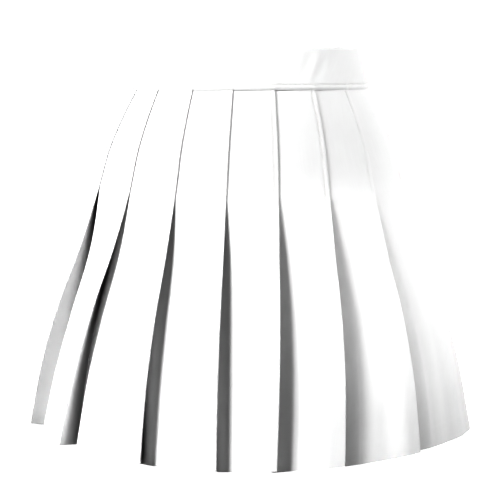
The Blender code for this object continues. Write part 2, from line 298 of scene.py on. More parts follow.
# %% Waves and puckers
Wave = namedtuple("Wave", "panel across lean spread depth starts")
WAVES = [Wave(*row) for row in (
    (1, 0.50, 0.10, 0.16, -1.6, 0.16),
    (1, 0.82, -0.05, 0.10, 0.9, 0.24),
    (2, 0.38, 0.06, 0.15, -1.3, 0.20),
    (3, 0.62, -0.08, 0.18, 1.2, 0.17),
    (3, 0.30, 0.04, 0.12, -0.8, 0.26),
    (4, 0.45, 0.05, 0.16, -1.0, 0.21),
    (5, 0.60, -0.06, 0.15, 1.1, 0.18),
    (6, 0.40, 0.08, 0.14, -1.5, 0.15),
    (6, 0.75, 0.00, 0.10, 0.8, 0.25),
    (7, 0.30, 0.05, 0.11, -1.2, 0.13),
    (7, 0.58, 0.06, 0.12, 1.0, 0.15),
    (7, 0.82, 0.02, 0.09, -0.7, 0.19),
    (8, 0.42, -0.04, 0.14, 0.9, 0.17),
    (8, 0.74, 0.03, 0.12, -0.9, 0.21),
    (9, 0.35, 0.07, 0.15, -1.5, 0.16),
    (9, 0.70, -0.04, 0.12, 1.0, 0.23),
    (10, 0.55, 0.05, 0.17, -1.4, 0.18),
    (11, 0.40, -0.06, 0.15, 1.2, 0.20),
    (12, 0.62, 0.04, 0.16, -1.3, 0.17),
    (13, 0.45, 0.07, 0.14, 1.1, 0.22),
    (14, 0.66, -0.05, 0.15, -1.5, 0.16),
    (15, 0.36, 0.06, 0.13, 1.3, 0.19),
    (15, 0.72, 0.02, 0.12, -1.1, 0.24),
    (16, 0.52, -0.05, 0.16, -1.4, 0.17),
)]
STITCHES_FROM_FOLD = 0.0045
GROOVE_DEPTH = 0.00016
GROOVE_WIDTH = 0.0008
PUCKER_DEPTH = 0.00005
PUCKER_LENGTH = 0.0093
PUCKER_SHIFT = 1.7
PUCKER_BEAT = 0.37
SEWING_FADES = (STITCHED_LENGTH - 0.002, STITCHED_LENGTH + 0.004)


WAVES_CLEAR_FOLDS = 0.15


def wave_height(panel, share, slant):
    """Height of the hanging waves at shares of a panel's width."""
    total = np.zeros_like(share)
    for wave in WAVES:
        if wave.panel == panel:
            grown = step_between(slant, wave.starts, PANEL_LENGTH)
            middle = wave.across + wave.lean * (1 - grown)
            total += wave.depth / 1000 * grown * np.exp(-(((share - middle) / wave.spread) ** 2))
    clear = WAVES_CLEAR_FOLDS
    return total * step_between(share, 0.0, clear) * (1 - step_between(share, 1 - clear, 1.0))


def seam_height(panel, before_fold, slant):
    """The groove and puckers along the stitches beside the next fold."""
    sewn = 1 - step_between(slant, *SEWING_FADES)
    groove = np.exp(-(((before_fold - STITCHES_FROM_FOLD) / GROOVE_WIDTH) ** 2))
    phase = 2 * math.pi * slant / PUCKER_LENGTH + PUCKER_SHIFT * panel
    drawn = PUCKER_DEPTH * math.sin(phase) * math.sin(PUCKER_BEAT * phase + panel)
    near = np.exp(-(((before_fold - STITCHES_FROM_FOLD) / (4 * GROOVE_WIDTH)) ** 2))
    return sewn * (drawn * near - GROOVE_DEPTH * groove)


print("hanging waves:", len(WAVES))

# %% The points of one pleat
OPENING_POWER = 2.6
ROLL_TURNS_AT = 0.62
COVERED_FROM = 0.008
COVERED_SWINGS = (68, 74)
COVERED_HANGS_LESS = 0.3
FOLD_STEPS = 6
RETURN_STEPS = 6
INNER_STEPS = 3
ROLL_STEPS = 14
FACE_STEPS = 12
EDGE_MM = (12.0, 9.5, 7.5, 6.1, 5.3, 4.9, 4.5, 4.1, 3.7, 2.9, 2.0, 1.0)


def between(first, last, shares):
    return first + np.outer(shares, last - first)


class Pleat:
    """One fold at one row of the cloth. Points in it are lengths along the figure's
    outline from the fold, and heights over the outline."""

    def __init__(self, number, slant):
        index = (number - 1) % PLEATS + 1
        self.index = index
        self.row = FOLDS[index]
        self.slant = slant
        self.angle = fold_angle(number, slant)
        self.next_angle = fold_angle(number + 1, slant)
        self.section = section_at(float(drop_for(self.angle, slant)))
        self.arcs = arc_table(self.section)
        self.spacing = np.interp(self.next_angle, TURN, self.arcs)
        self.spacing -= np.interp(self.angle, TURN, self.arcs)
        down = opening_at(slant)
        self.open = 1 - (1 - down) ** OPENING_POWER
        full_swing = math.radians(self.row.swing_deg)
        self.swing = math.acos(1 - (1 - math.cos(full_swing)) * down)
        self.pitch = SEWN_PITCH + self.open * (HEM_PITCH - SEWN_PITCH)
        past_zip = float(step_between(slant, ZIP_BELOW_SEAM, STITCHED_LENGTH))
        tucked = self.row.tucked / 1000
        eased = past_zip if tucked < UNDERLAY else np.clip(slant / STITCHED_LENGTH, 0, 1)
        self.width = tucked + eased * (UNDERLAY - tucked)
        self.slit = 1 - past_zip if index == ZIP_FOLD else 0.0
        follows_slit = 1 - past_zip if index == ZIP_FOLD + 1 else 0.0
        level_start = follows_slit * (FRAME_CLOTH / 2 + SLIT + SLIT_ROLL)
        self.panel_slope = 2 * self.pitch / (self.spacing - level_start)
        self.turn_corner()

    def turn_corner(self):
        """The fold's round corner, the inner fold, and the way from one to the other."""
        radius = self.pitch / 2
        turns = np.linspace(0, math.pi - self.swing, FOLD_STEPS + 1)
        self.corner = radius * np.column_stack([np.sin(turns) - 1, np.cos(turns) - 1])
        stack = self.panel_slope * self.width + self.pitch
        cos, sin = math.cos(self.swing), math.sin(self.swing)
        self.inner = np.array([-self.width * cos, -stack * cos - self.width * sin])
        way = self.inner - self.corner[-1]
        self.way = way / np.linalg.norm(way)
        self.side = np.array([-self.way[1], self.way[0]])

    def round_inner(self, turns):
        """The inner fold, a half circle from the return face to the next panel."""
        radius = self.pitch / 2
        sines = np.outer(np.sin(turns), self.way)
        return self.inner + radius * (self.side + sines - np.outer(np.cos(turns), self.side))

    def fold_part(self):
        shares = np.arange(1, RETURN_STEPS) / RETURN_STEPS
        face = between(self.corner[-1], self.inner, shares)
        half = self.round_inner(np.linspace(0, math.pi / 2, INNER_STEPS + 1))
        return self.placed(np.concatenate([self.corner, face, half]))

    def panel_part(self):
        turns = np.linspace(math.pi / 2, math.pi, INNER_STEPS + 1)
        half = self.round_inner(turns)[:-1]
        start = self.inner + self.pitch * self.side
        sewn = -2 * self.pitch * (1 - self.open)
        rolled = np.array([self.row.opens, -self.row.step]) / 1000 * self.open + (0.0, sewn)
        if self.slit:
            edge = np.array([FRAME_CLOTH / 2 + SLIT, -2 * self.pitch])
            under = [edge + (TURNED_IN * share, -self.pitch) for share in TURNED_SHARES]
            half += self.slit * (np.array(under) - half)
            start = start + self.slit * (edge - start)
            rolled = rolled + self.slit * (edge + (SLIT_ROLL, 0.0) - rolled)
        corner = np.array([ROLL_TURNS_AT * rolled[0], rolled[1]])
        middle = (1 - self.open) * (start + rolled) / 2 + self.open * corner
        u = (np.arange(ROLL_STEPS + 1) / ROLL_STEPS)[:, None]
        roll = (1 - u) ** 2 * start + 2 * u * (1 - u) * middle + u**2 * rolled
        hidden = self.placed(np.concatenate([half, roll]))
        return np.concatenate([hidden, self.face(*rolled)])

    def face(self, along, height):
        """The visible panel, with closer columns where it is stitched by its fold."""
        first = float(np.interp(np.interp(self.angle, TURN, self.arcs) + along, self.arcs, TURN))
        length = self.spacing - along
        edge = np.array(EDGE_MM) / 1000 / length
        shares = np.concatenate([np.arange(1, FACE_STEPS) / FACE_STEPS * (1 - edge[0]), 1 - edge])
        lift = height * (1 - shares) ** (1 + self.open)
        lift += wave_height(self.index, shares, self.slant)
        lift += seam_height(self.index, (1 - shares) * length, self.slant)
        angles = first + shares * (self.next_angle - first)
        return on_cloth(angles, self.slant, lift, self.open)

    def placed(self, points):
        """The points on the cloth. Where a fold swings far out, the cloth that goes back
        under the panel hangs less low, so that less of it shows below the hem."""
        start = np.interp(self.angle, TURN, self.arcs)
        angles = np.interp(start + points[:, 0], self.arcs, TURN)
        covered = step_between(-points[:, 0], 0.0, COVERED_FROM)
        covered *= step_between(self.row.swing_deg, *COVERED_SWINGS)
        leaning = self.open * (1 - COVERED_HANGS_LESS * covered)
        return on_cloth(angles, self.slant, points[:, 1], leaning)


sample = Pleat(3, PANEL_LENGTH)
print("points of a pleat:", len(sample.fold_part()) + len(sample.panel_part()))

# %% [markdown]
# ## Laying flat cloth into the pleats
# Each piece starts as a flat grid, added at the size that it is cut to. Its points are then
# carried to their places in the pleats, row by row. Because the grid keeps its order, the
# flat cloth's own coordinates can be kept as a UV map in metres, which the weave follows
# round every fold. A Solidify modifier gives the cloth its thickness, and more at the hem,
# where the cloth is turned up and lies double.

# %% Helpers for cloth
HEM_DEPTH = 0.022
HEM_THICKNESS = 1.6
HEM_LINE_UP = 0.020
UNDER_BAND = 0.003
SEWN_ROWS = 30
HANGING_ROWS = 46
ROWS_SPREAD = 1.15
HEM_ROWS_UP = (0.0208, 0.0196, 0.016, 0.012, 0.008, 0.004, 0.0015, 0.0)


def deselect_all():
    bpy.ops.object.select_all(action="DESELECT")


def make_active(piece):
    deselect_all()
    piece.select_set(True)
    bpy.context.view_layer.objects.active = piece


def apply_modifiers(piece):
    make_active(piece)
    for step in list(piece.modifiers):
        bpy.ops.object.modifier_apply(modifier=step.name)


def merge_doubles(piece):
    """Merges points that coincide. The piece stays in edit mode with all of it selected."""
    make_active(piece)
    bpy.ops.object.mode_set(mode="EDIT")
    bpy.ops.mesh.select_all(action="SELECT")
    bpy.ops.mesh.remove_doubles(threshold=1e-6)


def smooth_below(degrees):
    bpy.ops.object.shade_smooth_by_angle(angle=math.radians(degrees))


def thicken(cloth, thickness):
    wall = cloth.modifiers.new("thickness", "SOLIDIFY")
    wall.thickness = thickness
    wall.offset = 0.0
    return wall


def triangles_of(piece):
    return sum(len(face.vertices) - 2 for face in piece.data.polygons)


def flat_cloth(name, places, rows_at):
    """Adds a flat grid at the cut's size, and carries its points to their places. The UV
    map holds each point's place on the flat cloth, in metres."""
    rows, columns = places.shape[:2]
    lengths = running_length(places)
    deselect_all()
    bpy.ops.mesh.primitive_grid_add(x_subdivisions=columns - 1, y_subdivisions=rows - 1, size=1.0)
    cloth = bpy.context.object
    cloth.name = cloth.data.name = name
    mesh = cloth.data
    flat = np.empty(3 * len(mesh.vertices))
    mesh.vertices.foreach_get("co", flat)
    flat = flat.reshape(-1, 3)
    column = np.rint((flat[:, 0] + 0.5) * (columns - 1)).astype(int)
    row = np.rint((0.5 - flat[:, 1]) * (rows - 1)).astype(int)
    mesh.vertices.foreach_set("co", places[row, column].ravel())
    corners = np.empty(len(mesh.loops), dtype=int)
    mesh.loops.foreach_get("vertex_index", corners)
    unfolded = np.column_stack([lengths[row, column], -np.asarray(rows_at)[row]])
    mesh.uv_layers[0].data.foreach_set("uv", unfolded[corners].ravel())
    mesh.update()
    return cloth, row, column


def cloth_rows():
    """Lengths down the cloth of its rows, closer together where it needs them."""
    sewn = np.linspace(-UNDER_BAND, STITCHED_LENGTH, SEWN_ROWS)
    shares = (np.arange(1, HANGING_ROWS + 1) / HANGING_ROWS) ** ROWS_SPREAD
    hanging = STITCHED_LENGTH + shares * (PANEL_LENGTH - HEM_DEPTH - STITCHED_LENGTH)
    hem = PANEL_LENGTH - np.array(HEM_ROWS_UP)
    return [float(slant) for slant in (*sewn, *hanging, *hem)]


def pleated_cloth(name, first_fold, last_fold):
    """One width of cloth, from the inner fold where it starts to where it ends."""
    slants = cloth_rows()
    places = []
    for slant in slants:
        row = [Pleat(first_fold - 1, slant).panel_part()]
        for number in range(first_fold, last_fold + 1):
            pleat = Pleat(number, slant)
            row.append(pleat.fold_part())
            if number < last_fold:
                row.append(pleat.panel_part()[1:])
        places.append(np.concatenate(row))
    places = np.array(places)
    cloth, row, _ = flat_cloth(name, places, slants)
    doubled = cloth.vertex_groups.new(name="turned_up_hem")
    inside_hem = np.asarray(slants)[row] > PANEL_LENGTH - HEM_LINE_UP
    doubled.add(np.flatnonzero(inside_hem).tolist(), 1.0, "REPLACE")
    wall = thicken(cloth, HEM_THICKNESS * CLOTH)
    wall.thickness_vertex_group = 1 / HEM_THICKNESS
    wall.vertex_group = doubled.name
    wall.use_quality_normals = True
    apply_modifiers(cloth)
    smooth_below(50)
    width = running_length(places)[:, -1]
    print(name, triangles_of(cloth), "triangles, cloth", round(float(width[-1]), 3), "m wide")
    return cloth, float(width.mean())


# %% The three pleated pieces
PIECES = {
    "front_pleats": ("skirt_front", 1, LAST_FRONT_FOLD),
    "back_left_pleats": ("skirt_back_left", LAST_FRONT_FOLD + 1, ZIP_FOLD),
    "back_right_pleats": ("skirt_back_right", ZIP_FOLD + 1, PLEATS),
}
pleated = {}
for name, (node, first, last) in PIECES.items():
    piece, width = pleated_cloth(name, first, last)
    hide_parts(node)
    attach(piece, "skirt")
    pleated[name] = (piece, width)

# %% [markdown]
# ## Waistband
# The waistband is one straight strip, folded lengthwise over a stiffening, so its top edge
# is a soft round fold and its lower edge is turned in and stitched down on the pleats. It
# is laid as a flat strip whose rows run up the outside, over the top and down the inside.
# A few slanting creases cross its front, where it gives a little as it is worn.

# %% Creases of the waistband
BAND_CLOTH = 0.0024
BAND_STITCHES_UP = 0.0052
Crease = namedtuple("Crease", "from_mm from_up to_mm to_up width depth")
BAND_CREASES = [Crease(*row) for row in (
    (48, 6, 66, 38, 5.2, -0.45),
    (62, 5, 84, 35, 4.8, -0.50),
    (55, 6, 75, 37, 4.2, 0.30),
    (82, 8, 96, 38, 4.6, -0.40),
    (-95, 9, -78, 34, 3.2, -0.35),
    (-30, 8, -14, 30, 3.4, -0.25),
    (150, 6, 176, 34, 3.4, -0.55),
    (168, 5, 190, 36, 3.0, 0.35),
    (206, 8, 224, 36, 3.2, -0.45),
    (-160, 7, -182, 34, 3.2, -0.50),
    (-198, 6, -214, 35, 3.0, 0.35),
    (-236, 8, -252, 33, 3.2, -0.40),
)]


def crease_height(along_mm, up_mm):
    """Soft troughs and ridges along straight lines on the strip."""
    total = np.zeros_like(along_mm)
    for crease in BAND_CREASES:
        start = np.array([crease.from_mm, crease.from_up])
        way = np.array([crease.to_mm, crease.to_up]) - start
        length = np.linalg.norm(way)
        way = way / length
        x, y = along_mm - start[0], up_mm - start[1]
        run = (x * way[0] + y * way[1]) / length
        off = np.abs(y * way[0] - x * way[1])
        ends = step_between(run, -0.15, 0.3) * (1 - step_between(run, 0.7, 1.15))
        total += crease.depth / 1000 * ends * np.exp(-((off / crease.width) ** 2))
    return total


# %% The rows of the strip
EDGE_INSET = 0.00095
EDGE_RISE = 0.0031
EDGE_ROWS = 5
EDGE_CURVE = 1.4
LIP = 0.0006
OUTSIDE_STARTS = 0.0032
OUTSIDE_ROWS = 22
ROWS_BY_STITCHES = np.arange(3.5, 7.3, 0.6) / 1000
TOP_TURNS = 8
INSIDE_ENDS = 0.0016
INSIDE_ROWS = 18
FOLLOWS_PLEATS = 0.55
FOLLOWS_UP_TO = 0.011


def band_rows():
    """Rows round the strip, from the lower edge up the outside and down the inside:
    height over the band's middle, height above the seam, and 1 where creases show."""
    half = BAND_CLOTH / 2
    shares = [k / EDGE_ROWS for k in range(EDGE_ROWS)]
    rows = [(half - EDGE_INSET * (1 - t) ** EDGE_CURVE, EDGE_RISE * t, 0.0) for t in shares]
    top = BAND_HEIGHT - half
    outside = np.linspace(OUTSIDE_STARTS, top, OUTSIDE_ROWS)
    outside = np.unique(np.concatenate([outside, ROWS_BY_STITCHES]))
    rows += [(half, float(up), 1.0) for up in outside]
    for k in range(1, TOP_TURNS):
        turn = math.pi * k / TOP_TURNS
        rows.append((half * math.cos(turn), top + half * math.sin(turn), math.cos(turn / 2)))
    inside = np.linspace(top, INSIDE_ENDS, INSIDE_ROWS)
    rows += [(-half, float(up), 0.0) for up in inside]
    rows += [(-half, LIP, 0.0), (-half + 0.3 * LIP, 0.3 * LIP, 0.0), (-half + LIP, 0.0, 0.0)]
    return rows


def sunk_by_pleats(angles, up):
    """How far the band's outside sinks onto the pleats. Three layers meet at each fold,
    and from there the next panel starts under them."""
    numbers = range(ZIP_FOLD - PLEATS, ZIP_FOLD + PLEATS + 2)
    folds = [fold_angle(number, 0.0) for number in numbers]
    share = np.interp(angles, folds, np.arange(len(folds))) % 1.0
    near = 1 - step_between(up, 0.0, FOLLOWS_UP_TO)
    return 2 * SEWN_PITCH * FOLLOWS_PLEATS * near * (1 - share)


def slit_angle(drop, side):
    """The angle of an edge of the zip's slit: -1 by the fold, +1 past the slit."""
    edge = FRAME_CLOTH / 2 if side < 0 else FRAME_CLOTH / 2 + SLIT
    return float(moved_along(section_at(drop), fold_angle(ZIP_FOLD, max(drop, 0.0)), edge))


# %% Waistband
BAND_COLUMNS = 330
AT_SEAM = -1e-6
BAND_GROOVE_WIDTH = 0.0009
BAND_GROOVE_DEPTH = 0.00035
BAND_PUCKER_REACH = 0.0035
BAND_PUCKER_DEPTH = 0.00014
BAND_SWELL = 0.00025
band_start = slit_angle(AT_SEAM, 1)
band_end = slit_angle(AT_SEAM, -1) + 2 * math.pi
seam_section = section_at(0.0)
seam_arcs = arc_table(seam_section)
arc_start = np.interp(band_start, TURN, seam_arcs)
arc_end = np.interp(band_end, TURN, seam_arcs)
arc_front = np.interp(2 * math.pi, TURN, seam_arcs)
arcs_round = np.linspace(arc_start, arc_end, BAND_COLUMNS)
band_angles = np.interp(arcs_round, seam_arcs, TURN)
along_mm = (arcs_round - arc_front) * 1000

band_places = []
for height, up, creased in band_rows():
    section = section_at(min(-up, AT_SEAM))
    up_mm = np.full(BAND_COLUMNS, up * 1000)
    groove = math.exp(-(((up - BAND_STITCHES_UP) / BAND_GROOVE_WIDTH) ** 2))
    near = math.exp(-(((up - BAND_STITCHES_UP) / BAND_PUCKER_REACH) ** 2))
    drawn = np.sin(along_mm * 0.86) * np.sin(along_mm * 0.31 + 1.0)
    swell = BAND_SWELL * np.sin(along_mm * 0.047 + 0.6) * math.sin(math.pi * up / BAND_HEIGHT)
    relief = creased * (crease_height(along_mm, up_mm) + BAND_PUCKER_DEPTH * near * drawn + swell)
    relief -= creased * BAND_GROOVE_DEPTH * groove
    if height > 0:
        relief = relief - sunk_by_pleats(band_angles, up)
    out = outward(section, band_angles)
    plan = outline(section, band_angles) + (height + relief)[:, None] * out
    band_places.append(np.column_stack([plan, np.full(BAND_COLUMNS, level_of(-up))]))
band_places.append(band_places[0])
band_places = np.array(band_places)[::-1]

waistband, _, _ = flat_cloth("folded_waistband", band_places, running_length(band_places[:, 0]))
merge_doubles(waistband)
bpy.ops.mesh.select_all(action="DESELECT")
bpy.ops.mesh.select_mode(type="EDGE")
bpy.ops.mesh.select_non_manifold(extend=False)
bpy.ops.mesh.fill_holes(sides=0)
bpy.ops.mesh.select_all(action="SELECT")
bpy.ops.mesh.normals_make_consistent(inside=False)
bpy.ops.object.mode_set(mode="OBJECT")
smooth_below(50)
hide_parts("waistband")
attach(waistband, "skirt")

# %% [markdown]
# ## Stitches
# A lockstitch shows as a row of short rounded threads that dip into the cloth at both
# ends. One stitch is modelled once, from a small sphere drawn out to a spindle, and
# copied along each row. The pleats are stitched beside each fold from the waist seam to
# the place where they open, through all layers, so the same rows show on the inside. The
# waistband has one row just above its lower edge.

# %% One stitch, and a row of them
STITCH_LENGTH = 0.0024
STITCH_PITCH = 0.0030
THREAD = 0.00042


def taken_as_arrays(piece):
    """The points and faces of a small shape, whose own object goes."""
    points = np.array([v.co for v in piece.data.vertices])
    faces = [tuple(face.vertices) for face in piece.data.polygons]
    bpy.data.objects.remove(piece)
    return points, faces


def model_spindle(length, thickness):
    """One stitch along X with its middle at the origin."""
    deselect_all()
    bpy.ops.mesh.primitive_uv_sphere_add(segments=6, ring_count=5, radius=0.5)
    spindle = bpy.context.object
    turned = Matrix.Rotation(math.pi / 2, 4, "Y")
    sized = Matrix.Diagonal((length, thickness, 0.8 * thickness, 1.0))
    spindle.data.transform(sized @ turned)
    return taken_as_arrays(spindle)


def copies_of(name, shape, middles, ways, normals):
    """One joined mesh with a copy of a small shape at each middle: its X along the way,
    and its Z along the normal."""
    points, faces = shape
    ways = ways / np.linalg.norm(ways, axis=1, keepdims=True)
    sides = np.cross(normals, ways)
    sides /= np.linalg.norm(sides, axis=1, keepdims=True)
    ups = np.cross(ways, sides)
    axes = np.stack([ways, sides, ups], axis=1)
    places = np.einsum("pk,nkc->npc", points, axes) + middles[:, None, :]
    count = len(points)
    all_faces = [tuple(k * count + v for v in face) for k in range(len(middles)) for face in faces]
    mesh = bpy.data.meshes.new(name)
    mesh.from_pydata(places.reshape(-1, 3).tolist(), [], all_faces)
    mesh.update()
    piece = bpy.data.objects.new(name, mesh)
    bpy.context.scene.collection.objects.link(piece)
    make_active(piece)
    bpy.ops.object.shade_smooth()
    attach(piece, "skirt")
    return piece


spindle_shape = model_spindle(STITCH_LENGTH, THREAD)
print("faces of a stitch:", len(spindle_shape[1]))


# %% Rows beside the folds
STITCHES_START = 0.0022
STITCHES_END = STITCHED_LENGTH - 0.001
THREAD_OUTSIDE = CLOTH / 2 - GROOVE_DEPTH + 0.1 * THREAD
THREAD_INSIDE = -3 * SEWN_PITCH - CLOTH / 2


def beside_fold(number, slant, height):
    """A place on the line of stitches beside a fold."""
    section = section_at(float(drop_for(fold_angle(number, slant), slant)))
    angle = moved_along(section, fold_angle(number, slant), -STITCHES_FROM_FOLD)
    return on_cloth(np.array([angle]), slant, np.array([height]), 0.0)[0]


def fold_stitches(first_fold, last_fold, height):
    middles, ways, normals = [], [], []
    slants = np.arange(STITCHES_START, STITCHES_END, STITCH_PITCH).tolist()
    for number in range(first_fold, last_fold + 1):
        for slant in slants:
            top = beside_fold(number, slant - STITCH_LENGTH / 2, height)
            low = beside_fold(number, slant + STITCH_LENGTH / 2, height)
            out = beside_fold(number, slant, height + 0.001)
            middles.append((top + low) / 2)
            ways.append(low - top)
            normals.append(out - (top + low) / 2)
    return np.array(middles), np.array(ways), np.array(normals)


edge_stitches = {}
for name, (node, first, last) in PIECES.items():
    outer = fold_stitches(first, last, THREAD_OUTSIDE)
    last_inside = last - 1 if last == ZIP_FOLD else last
    inner = fold_stitches(first, last_inside, THREAD_INSIDE)
    both = [np.concatenate([a, b]) for a, b in zip(outer, inner)]
    row = copies_of(name.replace("pleats", "edge_stitches"), spindle_shape, *both)
    edge_stitches[name] = row
    print(row.name, len(both[0]), "stitches")

# %% The row on the waistband
BAND_ROW_INSET = 0.003
BAND_THREAD_SINKS = 0.00028

stitch_arcs = np.arange(arc_start + BAND_ROW_INSET, arc_end - BAND_ROW_INSET, STITCH_PITCH)
stitch_section = section_at(-BAND_STITCHES_UP)
before, stitch_angles, after = (
    np.interp(stitch_arcs + share * STITCH_LENGTH, seam_arcs, TURN) for share in (-0.5, 0.0, 0.5)
)
out = outward(stitch_section, stitch_angles)
way = outline(stitch_section, after) - outline(stitch_section, before)
level_ways, level_outs = (np.column_stack([rows, np.zeros(len(rows))]) for rows in (way, out))
sunk = sunk_by_pleats(stitch_angles, BAND_STITCHES_UP)
rows_of_band = []
for height in (BAND_CLOTH / 2 - BAND_THREAD_SINKS - sunk, np.full(len(sunk), -BAND_CLOTH / 2)):
    plan = outline(stitch_section, stitch_angles) + height[:, None] * out
    middle = np.column_stack([plan, np.full(len(plan), level_of(-BAND_STITCHES_UP))])
    rows_of_band.append((middle, level_ways, level_outs))
both = [np.concatenate([a, b]) for a, b in zip(*rows_of_band)]
band_stitches = copies_of("waistband_stitches", spindle_shape, *both)
thread_pieces = [*edge_stitches.values(), band_stitches]
print(band_stitches.name, len(both[0]), "stitches")

# %% [markdown]
# ## Zip
# A concealed zip closes the back, in the fold just left of the centre. From outside only
# the pull shows, over the end of the waistband. Inside are two woven tapes, and along
# their edges two rows of nylon loops that hook into each other. The loops are one small
# ring, modelled once and copied down the slit, left and right in turn.

# %% Zip tapes
TAPE = 0.0006
TAPE_WIDTH = 0.013
ZIP_TOP = 0.040
BEHIND_BAND = 0.0020
BEHIND_LAYERS = {-1: 0.0033, 1: 0.0046}
COIL_DEPTH = 0.0042
ZIP_ROWS = 71
TAPE_COLUMNS = 9
DEEPER_AT_SEAM = (-0.009, -0.001)
EDGE_COMES_IN = (0.1, 0.5)


def zip_slants():
    return np.linspace(-ZIP_TOP, ZIP_BELOW_SEAM, ZIP_ROWS)


def slit_middle(slant):
    """The angle of the slit's middle line, and the section there."""
    fold = fold_angle(ZIP_FOLD, max(slant, 0.0))
    section = section_at(float(drop_for(fold, slant)))
    middle = float(moved_along(section, fold, FRAME_CLOTH / 2 + SLIT / 2))
    return middle, section


def depth_behind(slant, side, share):
    """How deep a tape lies. Its edge by the slit comes in to the loops."""
    below = step_between(slant, *DEEPER_AT_SEAM)
    edge = BEHIND_BAND + below * (COIL_DEPTH - BEHIND_BAND)
    outer = BEHIND_BAND + below * (BEHIND_LAYERS[side] - BEHIND_BAND)
    return edge + step_between(share, *EDGE_COMES_IN) * (outer - edge)


def zip_tape(name, side):
    places = []
    for slant in zip_slants():
        middle, section = slit_middle(float(slant))
        shares = np.linspace(0.0, 1.0, TAPE_COLUMNS)
        away = side * (SLIT / 2 + shares * TAPE_WIDTH)
        angles = moved_along(section, middle, away)
        depth = depth_behind(slant, side, shares)
        plan = outline(section, angles) - depth[:, None] * outward(section, angles)
        row = np.column_stack([plan, np.full(len(plan), level_of(section.drop))])
        places.append(row if side > 0 else row[::-1])
    tape, _, _ = flat_cloth(name, np.array(places), zip_slants())
    thicken(tape, TAPE)
    apply_modifiers(tape)
    smooth_below(50)
    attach(tape, "skirt")
    print(name, triangles_of(tape), "triangles")
    return tape


tape_left = zip_tape("woven_tape_left", -1)
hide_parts("zip_tape_left")
tape_right = zip_tape("woven_tape_right", 1)
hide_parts("zip_tape_right")

# %% Zip loops
LOOP_PITCH = 0.0013
LOOP_RADIUS = 0.0009
LOOP_NYLON = 0.00028
LOOP_STRETCH = (1.45, 0.55, 1.1, 1.0)
LOOP_ASIDE = 0.0006
LOOP_BEHIND_TAPE = 0.0011
SLIDER_FOOT = 0.0265


def model_loop():
    """One ring of the coil, flat across the slit: X across, Z out of the cloth."""
    deselect_all()
    bpy.ops.mesh.primitive_torus_add(
        major_segments=10, minor_segments=5, major_radius=LOOP_RADIUS, minor_radius=LOOP_NYLON
    )
    ring = bpy.context.object
    ring.data.transform(Matrix.Diagonal(LOOP_STRETCH) @ Matrix.Rotation(math.pi / 2, 4, "X"))
    return taken_as_arrays(ring)


coil_slants = np.arange(-SLIDER_FOOT, ZIP_BELOW_SEAM - 0.006, LOOP_PITCH)
middles, ways, normals = [], [], []
for k, slant in enumerate(coil_slants):
    middle, section = slit_middle(float(slant))
    side = -1 if k % 2 else 1
    angle = float(moved_along(section, middle, side * LOOP_ASIDE))
    depth = float(depth_behind(slant, side, 0.0)) + LOOP_BEHIND_TAPE
    out = outward(section, angle)
    place = outline(section, angle) - depth * out
    middles.append((*place, float(level_of(section.drop))))
    ways.append((-out[1], out[0], 0.0))
    normals.append((*out, 0.0))
coil = copies_of("zip_loops", model_loop(), np.array(middles), np.array(ways), np.array(normals))
print("zip loops:", len(middles), "with", triangles_of(coil), "triangles")

# %% Bottom stop
STOP_SIZE = (0.0042, 0.0018, 0.0030)
STOP_ABOVE_END = 0.004
STOP_BEHIND_LOOPS = 0.0010
STOP_ROUNDING = 0.0005

stop_middle, stop_section = slit_middle(ZIP_BELOW_SEAM - STOP_ABOVE_END)
stop_out = outward(stop_section, stop_middle)
stop_place = outline(stop_section, stop_middle) - (COIL_DEPTH + STOP_BEHIND_LOOPS) * stop_out
deselect_all()
bpy.ops.mesh.primitive_cube_add(size=1.0)
bottom_stop = bpy.context.object
bottom_stop.name = bottom_stop.data.name = "zip_bottom_stop"
yaw = math.atan2(stop_out[1], stop_out[0]) + math.pi / 2
bottom_stop.data.transform(
    Matrix.Translation((*stop_place, float(level_of(stop_section.drop))))
    @ Matrix.Rotation(yaw, 4, "Z")
    @ Matrix.Diagonal((*STOP_SIZE, 1.0))
)
edges = bottom_stop.modifiers.new("edges", "BEVEL")
edges.width = STOP_ROUNDING
edges.segments = 3
apply_modifiers(bottom_stop)
smooth_below(40)
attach(bottom_stop, "skirt")
print("bottom stop", [round(x, 4) for x in bottom_stop.dimensions])

# %% [markdown]
# ## Slider and pull
# The slider and its pull are die-cast metal, so their edges are rounded, never sharp. The
# frame's own pieces have the right shape. A copy of each is merged into one clean mesh,
# and a narrow bevel turns its edges, which then catch the light.


# %% Slider and pull
def softened_copy(node, name, body, rounding):
    """A copy of a hard node with rounded edges."""
    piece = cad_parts[node].copy()
    piece.data = piece.data.copy()
    piece.name = piece.data.name = name
    for key in list(piece.keys()):
        del piece[key]
    piece.parent = None
    piece.matrix_world = Matrix.Identity(4)
    bpy.context.scene.collection.objects.link(piece)
    merge_doubles(piece)
    bpy.ops.mesh.customdata_custom_splitnormals_clear()
    bpy.ops.mesh.dissolve_limited(angle_limit=math.radians(2))
    bpy.ops.object.mode_set(mode="OBJECT")
    turned = piece.modifiers.new("rounded", "BEVEL")
    turned.width = rounding
    turned.segments = 2
    turned.limit_method = "ANGLE"
    turned.angle_limit = math.radians(40)
    apply_modifiers(piece)
    smooth_below(30)
    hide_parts(node)
    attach(piece, body)
    print(name, triangles_of(piece), "triangles")
    return piece


slider = softened_copy("zip_slider", "cast_slider", "skirt", 0.00012)
pull = softened_copy("zip_pull", "cast_pull", "pull", 0.00014)
